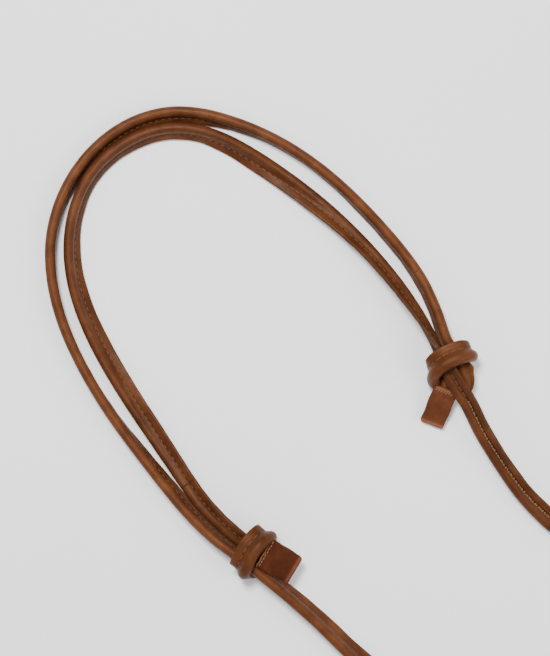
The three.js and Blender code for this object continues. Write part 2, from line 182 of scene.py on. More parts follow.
def route(rows, step=1.4):
    """Evenly spaced rings: places, tangents, flange directions, reach and distance, in mm."""
    dense, place = catmull([r[0] for r in rows])
    run = np.concatenate([[0], np.cumsum(np.linalg.norm(np.diff(dense, axis=0), axis=1))])
    count = int(run[-1] / step) + 1
    dist = np.linspace(0, run[-1], count)
    p = np.stack([np.interp(dist, run, dense[:, i]) for i in range(3)], 1)
    at = np.interp(dist, run, place)
    t = np.gradient(p, axis=0)
    t /= np.linalg.norm(t, axis=1)[:, None]
    n = np.zeros_like(p)
    reach = np.zeros(count)
    fat = np.ones(count)

    def way(row, tangent, angle=None):
        if row[2] is not None:
            return row[2]
        a = math.radians(row[1] if angle is None else angle)
        inward = np.array([-tangent[1], tangent[0], 0])
        inward /= max(np.linalg.norm(inward), 1e-6)
        return inward * math.cos(a) + np.array([0, 0, math.sin(a)])

    for i in range(count):
        low = min(int(at[i]), len(rows) - 2)
        w = at[i] - low
        a, b = rows[low], rows[low + 1]
        if a[2] is None and b[2] is None:
            v = way(a, t[i], a[1] + (b[1] - a[1]) * w)
        else:
            v = way(a, t[i]) * (1 - w) + way(b, t[i]) * w
        v = v - t[i] * np.dot(v, t[i])
        n[i] = v / max(np.linalg.norm(v), 1e-6)
        w = w * w * (3 - 2 * w)
        reach[i] = a[3] * (1 - w) + b[3] * w
        fat[i] = a[4] * (1 - w) + b[4] * w
    for _ in range(3):
        n[1:-1] = n[:-2] * 0.25 + n[1:-1] * 0.5 + n[2:] * 0.25
        n -= t * np.sum(n * t, axis=1)[:, None]
        n /= np.linalg.norm(n, axis=1)[:, None]
    return dict(p=p, t=t, n=n, b=np.cross(t, n), reach=reach, fat=fat, dist=dist)


def part_of(r, first, last):
    return {k: v[first:last] for k, v in r.items()}


# ---------------------------------------------------------------- materials
class Nodes:
    """A material's node tree, with short ways to add what the materials here share."""

    def __init__(self, name):
        self.m = bpy.data.materials.new(name)
        self.m.use_nodes = True
        self.t = self.m.node_tree
        self.t.nodes.clear()
        self.out = self.add("ShaderNodeOutputMaterial")
        self.bsdf = self.add("ShaderNodeBsdfPrincipled")
        self.link(self.bsdf.outputs["BSDF"], self.out.inputs["Surface"])

    def add(self, kind, **values):
        node = self.t.nodes.new(kind)
        for k, v in values.items():
            setattr(node, k, v)
        return node

    def link(self, a, b):
        self.t.links.new(a, b)

    def ramp(self, source, stops):
        node = self.add("ShaderNodeValToRGB")
        ramp = node.color_ramp
        while len(ramp.elements) < len(stops):
            ramp.elements.new(0.5)
        for e, (pos, col) in zip(ramp.elements, stops):
            e.position = pos
            e.color = (*col, 1) if len(col) == 3 else col
        self.link(source, node.inputs[0])
        return node.outputs[0]

    def noise(self, coords, scale, detail=2, rough=0.5):
        node = self.add("ShaderNodeTexNoise")
        node.inputs["Scale"].default_value = scale
        node.inputs["Detail"].default_value = detail
        node.inputs["Roughness"].default_value = rough
        self.link(coords, node.inputs["Vector"])
        return node.outputs["Fac"]

    def mix(self, kind, fac, a, b):
        node = self.add("ShaderNodeMix", data_type="RGBA", blend_type=kind)
        for value, socket in ((fac, node.inputs[0]), (a, node.inputs[6]), (b, node.inputs[7])):
            if isinstance(value, (int, float)):
                socket.default_value = value
            elif isinstance(value, tuple):
                socket.default_value = (*value, 1)
            else:
                self.link(value, socket)
        return node.outputs[2]

    def bump(self, height, strength, distance, normal=None):
        node = self.add("ShaderNodeBump")
        node.inputs["Strength"].default_value = strength
        node.inputs["Distance"].default_value = distance
        self.link(height, node.inputs["Height"])
        if normal is not None:
            self.link(normal, node.inputs["Normal"])
        return node.outputs["Normal"]


WHITE = (1, 1, 1)


def leather(name, base, dark, light, rough=0.42, tone=True, highlight_gain=1.9, warmth=1.01):
    """Smooth calf leather: fine pores, soft mottling, faint creases, painted shade in its seams and painted
    highlights, both from its tone.
    """
    k = Nodes(name)
    coords = k.add("ShaderNodeTexCoord").outputs["Object"]
    mottle = k.noise(coords, 55, 4, 0.6)
    colour = k.ramp(mottle, [(0.30, dark), (0.52, base), (0.75, light)])
    fine = k.noise(coords, 900, 3, 0.6)
    colour = k.mix("MULTIPLY", 0.35, colour, k.ramp(fine, [(0.35, (0.72, 0.70, 0.68)), (0.6, WHITE)]))
    flow = k.add("ShaderNodeAttribute", attribute_name="flow").outputs["Vector"]
    streaks = k.noise(flow, 1.0, 4, 0.62)
    # The streaks' colour is partly grain and partly painted highlight and shade along the lengthwise wrinkles that the
    # bump below also raises; their light end is cooler, as a sheen would be.
    streak_stops = [(0.30, (0.84, 0.82, 0.80)), (0.50, WHITE), (0.70, (1.09, 1.10, 1.12))]
    colour = k.mix("MULTIPLY", 1.0, colour, k.ramp(streaks, streak_stops))
    # The tone attribute paints light into the colour: low tones darken it as painted shade, high tones lighten it as a
    # painted highlight, up to the gain given for that.
    if tone:
        shade = k.add("ShaderNodeAttribute", attribute_name="tone").outputs["Fac"]
        glow = (highlight_gain, highlight_gain * warmth, highlight_gain * warmth**3)
        colour = k.mix("MULTIPLY", 1.0, colour, k.ramp(shade, [(0.0, (0.30, 0.27, 0.25)), (0.5, WHITE), (1.0, glow)]))
    k.link(colour, k.bsdf.inputs["Base Color"])
    cells = k.add("ShaderNodeTexVoronoi", feature="F1")
    cells.inputs["Scale"].default_value = 1500
    k.link(coords, cells.inputs["Vector"])
    pores = k.add("ShaderNodeTexVoronoi", feature="DISTANCE_TO_EDGE")
    pores.inputs["Scale"].default_value = 950
    k.link(coords, pores.inputs["Vector"])
    creases = k.noise(coords, 260, 5, 0.65)
    normal = k.bump(pores.outputs["Distance"], 0.10, 0.0004)
    normal = k.bump(cells.outputs["Distance"], 0.06, 0.0002, normal)
    normal = k.bump(creases, 0.16, 0.0006, normal)
    normal = k.bump(streaks, 0.26, 0.0012, normal)
    k.link(normal, k.bsdf.inputs["Normal"])
    k.link(k.ramp(creases, [(0.3, (rough + 0.08,) * 3), (0.7, (rough - 0.05,) * 3)]), k.bsdf.inputs["Roughness"])
    k.bsdf.inputs["Specular IOR Level"].default_value = 0.15
    k.bsdf.inputs["Specular Tint"].default_value = (1.0, 0.74, 0.55, 1)
    return k.m


def plain(name, dark, light, scale, rough, bump=0.2, metal=0.0, spread=(0.3, 0.7)):
    """Anything else: two mottled colours with a matching bump."""
    k = Nodes(name)
    coords = k.add("ShaderNodeTexCoord").outputs["Object"]
    mottle = k.noise(coords, scale, 4, 0.6)
    k.link(k.ramp(mottle, list(zip(spread, (dark, light)))), k.bsdf.inputs["Base Color"])
    k.link(k.bump(mottle, bump, 0.0003), k.bsdf.inputs["Normal"])
    k.bsdf.inputs["Roughness"].default_value = rough
    k.bsdf.inputs["Metallic"].default_value = metal
    k.bsdf.inputs["Specular IOR Level"].default_value = 0.5 if metal else 0.08
    return k.m


# Strap A's leather is strap B's at about 0.85 of its brightness: painted shade on the inner strap, which lies lower
# beside the outer one.
LEATHER_A = leather(
    "leather_inner_strap", (0.0671, 0.0201, 0.0066), (0.0447, 0.0126, 0.0039), (0.0929, 0.0300, 0.0109)
)
LEATHER_B = leather(
    "leather_outer_strap", (0.0791, 0.0242, 0.0079), (0.0533, 0.0156, 0.0048), (0.1101, 0.0358, 0.0127)
)
# Each tab's gain sets how bright the painted highlight along its fold is.
TAB_RIGHT = leather(
    "leather_right_tab", (0.0796, 0.0237, 0.0097), (0.0566, 0.0155, 0.0065), (0.1104, 0.0366, 0.0171),
    rough=0.40, highlight_gain=2.4, warmth=1.12,
)
TAB_LEFT = leather(
    "leather_left_tab", (0.0442, 0.0109, 0.0039), (0.0298, 0.0070, 0.0024), (0.0680, 0.0184, 0.0068),
    rough=0.30, highlight_gain=3.2, warmth=1.16,
)
CHAPE = leather(
    "leather_chape", (0.070, 0.0200, 0.0062), (0.048, 0.0130, 0.0040), (0.098, 0.0310, 0.0105), tone=False
)
FINE = (0.35, 0.65)
EDGE = plain("edge_paint", (0.030, 0.012, 0.006), (0.075, 0.032, 0.015), 300, 0.5, 0.35)
RAW = plain("raw_leather_edge", (0.090, 0.036, 0.016), (0.20, 0.095, 0.045), 900, 0.85, 0.6)
THREAD = plain("waxed_thread", (0.095, 0.036, 0.013), (0.17, 0.072, 0.027), 2600, 0.6, 0.5, spread=FINE)
FRAY = plain("worn_leather_lip", (0.11, 0.046, 0.020), (0.30, 0.155, 0.080), 1800, 0.8, 0.5)
TAB_THREAD = plain("tan_thread", (0.13, 0.055, 0.020), (0.25, 0.115, 0.046), 2600, 0.6, 0.5, spread=FINE)
# Dark discs where the thread goes into the leather: painted shade of each needle hole.
HOLE_SHADE = plain("needle_hole_shade", (0.012, 0.006, 0.004), (0.03, 0.014, 0.008), 900, 0.9)
CORE = plain("core_cord", (0.34, 0.26, 0.16), (0.60, 0.50, 0.34), 1200, 0.9, 0.6)
BRASS = plain("antique_brass", (0.30, 0.20, 0.09), (0.62, 0.45, 0.22), 70, 0.30, 0.08, 1.0)


# ---------------------------------------------------------------- meshes
def new_object(name, verts, faces, mats, indices=None, tone=None, flow=None):
    """A smooth-shaded object from points in mm, with its colour attributes."""
    mesh = bpy.data.meshes.new(name)
    mesh.from_pydata((np.asarray(verts) * MM).tolist(), [], faces)
    for m in mats:
        mesh.materials.append(m)
    if indices is not None:
        mesh.polygons.foreach_set("material_index", indices)
    mesh.polygons.foreach_set("use_smooth", [True] * len(mesh.polygons))
    if tone is not None:
        mesh.attributes.new("tone", "FLOAT", "POINT").data.foreach_set("value", np.asarray(tone, float))
    if flow is not None:
        layer = mesh.attributes.new("flow", "FLOAT_VECTOR", "POINT")
        layer.data.foreach_set("vector", np.asarray(flow, float).ravel())
    mesh.update()
    o = bpy.data.objects.new(name, mesh)
    bpy.context.scene.collection.objects.link(o)
    return o


def skin(faces, rings, sides, start=0):
    """Quads between rings of equal length."""
    for i in range(rings - 1):
        low, high = start + i * sides, start + (i + 1) * sides
        for j in range(sides):
            k = (j + 1) % sides
            faces.append((low + j, low + k, high + k, high + j))


def cap(faces, rings, sides, start=0):
    """The two end faces of such a skin."""
    faces.append(tuple(start + j for j in range(sides - 1, -1, -1)))
    faces.append(tuple(start + (rings - 1) * sides + j for j in range(sides)))


def flange(reach, fat):
    """Where the flange starts and ends, from the roll's centre."""
    roll = ROLL * fat
    return roll * math.cos(MOUTH), roll + 0.55 + (REACH - ROLL - 0.6) * reach


def strap_section(reach, fat, groove):
    """The section's outline (flange way, thickness way), its tone, which paints shade and highlight onto it, and its
    material per edge.
    """
    pts, tone, mats = [], [], []
    roll = ROLL * fat
    base, tip = flange(reach, fat)

    def put(x, y, shade=0.5, mat=0):
        pts.append((x, y))
        tone.append(shade)
        mats.append(mat)

    # The roll's tone is lighter across its back, away from the flange, and falls off towards its mouth into the
    # painted shade of the groove.
    arc = 26
    for i in range(arc + 1):
        a = MOUTH + (2 * math.pi - 2 * MOUTH) * i / arc
        edge = min(i, arc - i)
        put(roll * math.cos(a), roll * math.sin(a), 0.46 + 0.12 * math.sin(math.pi * edge / arc))
    high = roll * math.sin(MOUTH)
    deep = 0.10 + 0.55 * groove
    # The flange's tones paint shade into the seam's groove, darker where the groove is worn deeper, a painted
    # highlight just inside the flange's rounded rim and painted shade over the rim.
    flat = [
        (base + 0.75, HALF + (high - HALF) * 0.58, 0.45),
        (base + 1.5, HALF + (high - HALF) * 0.26, 0.42 - 0.14 * groove),
        (base + 2.1, HALF + 0.12 - deep * 0.6, 0.40 - 0.26 * groove),
        (base + SEAM, HALF + 0.02 - deep, 0.34 - 0.24 * groove),
        (base + 3.0, HALF + 0.04 - deep * 0.4, 0.42 - 0.32 * groove),
        (base + 3.7, HALF + 0.08, 0.50 - 0.20 * groove),
        (base + 5.0, HALF + 0.04, 0.52),
        (base + 6.6, HALF + 0.01, 0.51),
        (base + 7.6, HALF, 0.55),
        (base + 8.3, HALF - 0.10, 0.64),
        (base + PROFILE, HALF - 0.42, 0.42),
    ]
    stretch = (tip - base) / PROFILE
    last = len(flat) - 1
    for i, (x, y, s) in enumerate(flat):
        put(base + (x - base) * stretch, -y, s, 1 if i >= last else 0)
    put(tip + 0.02, -0.1, 0.25, 1)
    put(tip - 0.12, 0, 0.12, 1)
    put(tip + 0.02, 0.1, 0.25, 1)
    for x, y, s in reversed(flat):
        put(base + (x - base) * stretch, y, s)
    return pts, tone, mats


def seam(r, q):
    """How far the stitching lies from the roll's centre."""
    base, tip = flange(r["reach"][q], r["fat"][q])
    return base + SEAM * (tip - base) / PROFILE


def wobble(d, seed):
    """Slow unevenness of handmade leather along a strap, about -1 to 1."""
    slow = math.sin(d * 0.071 + seed) * 0.5
    return slow + math.sin(d * 0.173 + seed * 2.3) * 0.3 + math.sin(d * 0.39 + seed * 5.1) * 0.2


def strap_mesh(name, r, mats, groove):
    """The leather of a strap: a roll with its flange, swept along a route."""
    verts, tones, flow, faces = [], [], [], []
    for i in range(len(r["p"])):
        d = r["dist"][i]
        pts, tone, edges = strap_section(r["reach"][i], r["fat"][i], groove(d))
        fat = 1 + 0.012 * wobble(d, 1.0)
        curl = 0.10 * wobble(d, 4.0)
        for (x, y), s in zip(pts, tone):
            lift = curl * max(0, x - ROLL) ** 1.3 * 0.25
            verts.append(r["p"][i] + r["n"][i] * x * fat + r["b"][i] * (y * fat + lift))
            tones.append(s + 0.04 * wobble(d, 9.0))
            flow.append((d * 0.14, x * 0.9, y * 0.9))
    rings = len(r["p"])
    skin(faces, rings, len(pts))
    cap(faces, rings, len(pts))
    index = edges * (rings - 1) + [0, 0]
    return new_object(name, verts, faces, mats, index, tones, flow)


def capsule(verts, faces, a, b, normal, radius, flat=0.7, sides=8):
    """A short thread from a to b, both ends dipping into the leather."""
    a, b, normal = np.array(a), np.array(b), np.array(normal)
    axis = b - a
    length = np.linalg.norm(axis)
    axis = axis / length
    side = np.cross(axis, normal)
    start = len(verts)
    rows = [
        (-0.06, -0.75, 0.55), (0.04, -0.30, 0.8), (0.16, 0.08, 1), (0.5, 0.2, 1.04),
        (0.84, 0.08, 1), (0.96, -0.30, 0.8), (1.06, -0.75, 0.55),
    ]
    for t, lift, size in rows:
        c = a + axis * length * t + normal * radius * lift
        for j in range(sides):
            g = 2 * math.pi * j / sides
            verts.append(c + side * math.cos(g) * radius * size + normal * math.sin(g) * radius * size * flat)
    skin(faces, len(rows), sides, start)


def disc(verts, faces, c, axis, side, rx, ry, sides=10):
    """A flat oval mark."""
    start = len(verts)
    for j in range(sides):
        g = 2 * math.pi * j / sides
        verts.append(c + axis * math.cos(g) * rx + side * math.sin(g) * ry)
    faces.append(tuple(start + j for j in range(sides)))


def stitches(name, r, skip):
    """Lockstitch along the flange, on both faces, with a dark disc painted at each needle hole as its shade."""
    verts, faces, hole_shades, hole_shade_faces = [], [], [], []
    dist = r["dist"]
    pos = math.ceil(dist[0] / PITCH) * PITCH
    gap = 1.2
    while pos + PITCH < dist[-1]:
        i = int(np.searchsorted(dist, pos + gap))
        j = int(np.searchsorted(dist, pos + PITCH - gap))
        if j < len(dist) and min(r["reach"][i], r["reach"][j]) > 0.9 and not skip(pos):
            for face in (1, -1):
                y = (HALF + 0.02) * face
                ends = [r["p"][q] + r["n"][q] * seam(r, q) + r["b"][q] * y for q in (i, j)]
                capsule(verts, faces, ends[0], ends[1], r["b"][i] * face, 0.36)
                q = min(int(np.searchsorted(dist, pos)), len(dist) - 1)
                c = r["p"][q] + r["n"][q] * seam(r, q) + r["b"][q] * HALF * face
                # A dark disc at the needle hole, painted shade.
                disc(hole_shades, hole_shade_faces, c, r["t"][q], r["n"][q], 0.6, 0.35)
        pos += PITCH
    thread = new_object(name, verts, faces, [THREAD])
    marks = new_object(name + "_holes", hole_shades, hole_shade_faces, [HOLE_SHADE])
    return thread, marks


def frayed_edge(name, r, last):
    """The worn lip of the roll's lap beside the seam: a ragged row of tiny torn tufts."""
    verts, faces = [], []
    pos, count = 14.0, 0  # the first tufts are inside the chape
    while pos < last:
        q = int(np.searchsorted(r["dist"], pos))
        size = 0.62 + 0.22 * math.sin(count * 2.1) + 0.14 * math.sin(count * 5.3) + 0.25 * (1 - pos / last)
        lean = 0.6 * math.sin(count * 1.3)
        up = r["b"][q] * math.copysign(1, r["b"][q][2])
        base = r["p"][q] + r["n"][q] * (seam(r, q) - 0.9) + up * (HALF + 0.30)
        tip = base + r["n"][q] * size * 1.5 + r["t"][q] * (0.5 + lean) + up * 0.1
        capsule(verts, faces, base - r["n"][q] * 0.4, tip, up, 0.24 + 0.13 * size, 0.8, 6)
        pos += 0.74 + 0.28 * math.sin(count * 3.7)
        count += 1
    return new_object(name, verts, faces, [FRAY])


def core_mesh(name, r):
    """The three-ply cord inside the roll."""
    verts, faces = [], []
    radius, sides = 2.2, 12
    for i in range(len(r["p"])):
        twist = r["dist"][i] * 0.5
        for j in range(sides):
            g = 2 * math.pi * j / sides
            rad = radius * (1 + 0.07 * math.cos(3 * g + twist))
            verts.append(r["p"][i] + r["n"][i] * rad * math.cos(g) + r["b"][i] * rad * math.sin(g))
    skin(faces, len(r["p"]), sides)
    cap(faces, len(r["p"]), sides)
    return new_object(name, verts, faces, [CORE])


# ---------------------------------------------------------------- the two straps
def closest(r, place):
    return int(np.argmin(np.linalg.norm(r["p"] - np.array(place), axis=1)))


full_a = route(ROUTE_A + LEFT_TURN)
full_b = route(list(reversed(RIGHT_TURN)) + ROUTE_B)
cut_a, cut_b = closest(full_a, (-120.8, 37.2, 11.5)), closest(full_b, (131.6, 50.0, 13.5))
main_a, tied_a = part_of(full_a, 0, cut_a + 1), part_of(full_a, cut_a, None)
main_b, tied_b = part_of(full_b, cut_b, None), part_of(full_b, 0, cut_b + 1)


worn_a = float(full_a["dist"][closest(full_a, (93.6, -50.7, 18))])  # A's worn part ends here
plain_b = float(full_b["dist"][closest(full_b, (-122.2, -39.1, 20))])  # B's stitches are out of sight from here on


def groove_a(d):
    """Strap A is deeply worn along its seam between its hook and the right knot; the deeper groove there is also
    painted darker, as shade.
    """
    return 1 / (1 + math.exp((d - worn_a - 20) / 8))


straps = {}
for label, main, tied, mat, knot, body, groove, skip in (
    ("a", main_a, tied_a, LEATHER_A, LEFT, "left_knot", groove_a, lambda d: d < worn_a - 4),
    ("b", main_b, tied_b, LEATHER_B, RIGHT, "right_knot", lambda d: 0.0, lambda d: d > plain_b),
):
    cover = strap_mesh(f"strap_{label}_leather", main, [mat, EDGE], groove)
    knotted = strap_mesh(f"strap_{label}_tied_end", tied, [mat, EDGE], groove)
    thread, hole_shades = stitches(f"strap_{label}_thread", main, skip)
    knot_thread, knot_hole_shades = stitches(f"strap_{label}_knot_thread", tied, skip)
    worn = [frayed_edge("strap_a_worn_lip", main, worn_a - 4)] if label == "a" else []
    for o in (cover, thread, hole_shades, *worn):
        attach(o, "straps")
    for o in (knotted, knot_thread, knot_hole_shades):
        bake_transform(o)
    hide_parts(f"strap_{label}_cover")
    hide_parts(f"strap_{label}_knot")
    straps[label] = dict(
        cover=cover, route=main, others=[knotted, thread, hole_shades, knot_thread, knot_hole_shades], worn=worn
    )


# ---------------------------------------------------------------- folded tabs
FOLD = 2.2  # half the folded tab's thickness


def tab_mesh(name, knot, start, end, near, far, mat, messy):
    """Folded leather tab: two layers, fold at the far end, raw stitched edge at the knot."""
    a, b = spot(knot, *start), spot(knot, *end)
    x = (b - a) / np.linalg.norm(b - a)
    length = np.linalg.norm(b - a)
    y = np.cross((0, 0, 1), x)
    y /= np.linalg.norm(y)
    z = np.cross(x, y)
    stations = [0, 0.25, 0.6, 1.1, 1.8, 2.6, 3.4, 5, 7, 9, 11, 13, 15, 17, 19, 21, 23, 25]
    stations = [s for s in stations if s < length - FOLD * 2.2]
    stations += [length - FOLD * (1 + c) for c in (1.1, 0.6, 0.2, 0)]
    stations += [length - FOLD + FOLD * math.sin(math.radians(g)) for g in (15, 30, 45, 60, 72, 82, 88)]
    verts, faces, index, tones = [], [], [], []
    corner = 3.0
    across = [-1, -0.985, -0.94, -0.85, -0.6, -0.3, 0, 0.3, 0.6, 0.85, 0.94, 0.985, 1]
    outline = [(v, 1 - 0.10 * max(0, (abs(v) - 0.93) / 0.07) ** 2) for v in across]
    for u in stations:
        width = near + (far - near) * min(1, u / length * 1.3)
        past = max(0, u - (length - corner))
        width -= 2 * (corner - math.sqrt(max(corner**2 - past**2, 0)))
        half_t = FOLD
        inner = u - (length - FOLD)
        if inner > 0:
            half_t = math.sqrt(max(FOLD**2 - inner**2, 0.02))
        if u < 0.5:
            half_t *= 0.90 + 0.2 * u
        dip = 0.16 * math.exp(-((u - 2.6) / 0.5) ** 2)
        sag = 0.35 * math.sin(math.pi * u / length)
        ring = []
        for v, up in outline:
            rim = abs(v) == 1
            crown = 0.22 * (1 - v * v) - dip if inner < 0 else 0
            # The rims, and the sides below, get low tones: painted shade where the tab's edges turn away.
            ring.append((v * width / 2, half_t * up * (0.82 if rim else 1) + crown, 0.30 if rim else 0.5))
        side = [(1, 0.25, 0.2), (0.985, 0.0, 0.05), (1, -0.25, 0.2)]
        loop = ring + [(s * width / 2, t * half_t, c) for s, t, c in side]
        loop += [(p, -q, c) for p, q, c in reversed(ring)]
        loop += [(-s * width / 2, -t * half_t, c) for s, t, c in side]
        # A painted highlight along the rounded fold at the far end.
        painted_highlight = 0.48 * math.exp(-((u - length + 2.4) / 1.3) ** 2)
        for p, q, c in loop:
            bend = (0.45 * math.sin(p * 0.9 + 1.3) + 0.25 * math.sin(p * 2.3)) * math.exp(-u / 2.0)
            curl = 0.9 * math.exp(-u / 7.0) * (p / width * 2) ** 3
            wander = 0.25 * math.sin(u * 0.35 + (1.7 if p > 0 else 0.0))
            verts.append(a + x * (u + bend) + y * (p + wander) + z * (q + sag + curl))
            tones.append(min(1.0, c + painted_highlight) if u > 0.5 else 0.3)
    count = len(verts) // len(stations)
    top = len(outline)
    skin(faces, len(stations), count)
    for s in stations[:-1]:
        for j in range(count):
            raw = top - 1 <= j < top + 3 or 2 * top + 2 <= j < 2 * top + 6
            index.append(1 if s < 1.1 or (raw and s < length - FOLD) else 0)
    cap(faces, len(stations), count)
    index += [1, 0]
    o = new_object(name, verts, faces, [mat, RAW], index, tones)
    tv, tf = [], []
    width = near * 0.97
    steps = 8
    for face in (1, -1):
        for i in range(steps):
            for row in (0, 1) if messy else (0,):
                jog = (0.5 if messy else 0.35) * math.sin(i * 2.9 + row * 1.7) + row * 1.5
                p = -width / 2 + 1.0 + (width - 2.0) * (i + 0.14 + 0.3 * row) / steps
                q = -width / 2 + 1.0 + (width - 2.0) * (i + 0.86 + 0.2 * row) / steps
                h = (FOLD + 0.10) * face
                lift = 0.35 * math.sin(math.pi * 2.6 / length)
                ends = []
                for w, way in ((p, 1), (q, -1)):
                    curl = 0.9 * math.exp(-2.4 / 7.0) * (w / near * 2) ** 3
                    up = h + lift + curl + 0.22 * face * (1 - (2 * w / width) ** 2)
                    ends.append(a + x * (2.4 - jog * 0.6 + (0.4 * way if messy else 0)) + y * w + z * up)
                capsule(tv, tf, ends[0], ends[1], z * face, 0.46)
    thread = new_object(name + "_thread", tv, tf, [TAB_THREAD])
    return o, thread


for label, body, spec in (
    ("b", "right_knot", (RIGHT, (-11.4, 18.9, 13.6), (-30.8, 43.4, 3.8), 19.8, 19.4, TAB_RIGHT, True)),
    ("a", "left_knot", (LEFT, (5.9, 6.2, 25.1), (10.4, 35.4, 22.6), 26.0, 24.2, TAB_LEFT, False)),
):
    o, thread = tab_mesh(f"strap_{label}_end_tab", *spec)
    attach(o, body)
    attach(thread, body)
    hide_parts(f"strap_{label}_tab")
    straps[label]["others"] += [o, thread]

# ---------------------------------------------------------------- cores
for label in "ab":
    o = core_mesh(f"strap_{label}_core_cord", straps[label]["route"])
    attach(o, "straps")
    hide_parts(f"strap_{label}_core")
    straps[label]["others"].append(o)


# ---------------------------------------------------------------- swivel hooks: u outwards, v across, z up
class Build:
    """Collects closed pieces of one mesh in a hook's own coordinates."""

    def __init__(self, at, heading_deg):
        g = math.radians(heading_deg)
        self.at, self.u, self.v = at, (math.cos(g), math.sin(g)), (-math.sin(g), math.cos(g))
        self.verts, self.faces = [], []

    def place(self, u, v, z):
        return np.array([
            self.at[0] + self.u[0] * u + self.v[0] * v,
            self.at[1] + self.u[1] * u + self.v[1] * v,
            END_Z + z,
        ])

    def rings(self, rings, closed=False):
        """Rings of equal length, each a list of (u, v, z), skinned and capped."""
        start, n = len(self.verts), len(rings[0])
        for ring in rings:
            self.verts += [self.place(*q) for q in ring]
        count = len(rings)
        skin(self.faces, count, n, start)
        if closed:
            last = start + (count - 1) * n
            self.faces += [(last + j, last + (j + 1) % n, start + (j + 1) % n, start + j) for j in range(n)]
        else:
            cap(self.faces, count, n, start)

    def turned(self, profile, at=None, sides=32):
        """A turned piece: along u, or upright at a (u, v) place."""
        rings = []
        for along_axis, radius in profile:
            ring = []
            for j in range(sides):
                g = 2 * math.pi * j / sides
                c, s = radius * math.cos(g), radius * math.sin(g)
                ring.append((along_axis, c, s) if at is None else (at[0] + c, at[1] + s, along_axis))
            rings.append(ring)
        self.rings(rings)

    def wire(self, points, radius, closed=False, sides=18):
        """A round bar bent in the flat (u, v) plane."""
        flat = [(u, v, 0.0) for u, v in points]
        per = 8
        if closed:
            line = catmull(flat[-2:] + flat + flat[:2], per)[0][2 * per:-2 * per]
            step = np.roll(line, -1, axis=0) - np.roll(line, 1, axis=0)
        else:
            line = catmull(flat, per)[0]
            step = np.gradient(line, axis=0)
        step /= np.linalg.norm(step, axis=1)[:, None]
        stations = [(line[i], step[i], radius) for i in range(len(line))]
        if not closed:
            caps = [(0.25, 0.97), (0.6, 0.8), (0.87, 0.5), (0.97, 0.22)]
            head = [(line[0] - step[0] * radius * d, step[0], radius * r) for d, r in reversed(caps)]
            tail = [(line[-1] + step[-1] * radius * d, step[-1], radius * r) for d, r in caps]
            stations = head + stations + tail
        rings = []
        for c, d, r in stations:
            ring = []
            for j in range(sides):
                g = 2 * math.pi * j / sides
                across = r * math.cos(g)
                ring.append((c[0] - d[1] * across, c[1] + d[0] * across, r * math.sin(g)))
            rings.append(ring)
        self.rings(rings, closed)

    def plate(self, outline, low, high, bevel=0.35):
        """A flat plate with a rounded-over rim."""
        mid = np.mean(outline, axis=0)
        rings = []
        slight = bevel * 0.3
        levels = [(low, bevel), (low + slight, slight), (low + bevel, 0)]
        levels += [(high - bevel, 0), (high - slight, slight), (high, bevel)]
        for z, inset in levels:
            ring = []
            for q in outline:
                away = np.array(q) - mid
                ring.append((*(np.array(q) - away / np.linalg.norm(away) * inset), z))
            rings.append(ring)
        self.rings(rings)

    def object(self, name, mat):
        o = new_object(name, self.verts, self.faces, [mat])
        o.data.set_sharp_from_angle(angle=math.radians(35))
        return o


PIVOT = (46.5, 5.5)  # the gate's pin
EYE = [
    (22, -9), (22, -4.5), (22, 0), (22, 4.5), (22, 9), (23.2, 11.2), (26.3, 11.6), (30, 8.6), (33, 4.5),
    (34.2, 0), (33, -4.5), (30, -8.6), (26.3, -11.6), (23.2, -11.2),
]
BEND = [(40.5, 0), (44, -3), (49, -7.5), (56, -9.3), (64, -8.2), (69, -3.8), (69.6, 2), (67, 6.6), (64.4, 8.1)]


def arc(centre, radius, degrees):
    turns = [math.radians(g) for g in degrees]
    return [(centre[0] + radius * math.cos(g), centre[1] + radius * math.sin(g)) for g in turns]


def smooth(x):
    """0 to 1 with soft ends."""
    x = min(1, max(0, x))
    return x**2 * (3 - 2 * x)


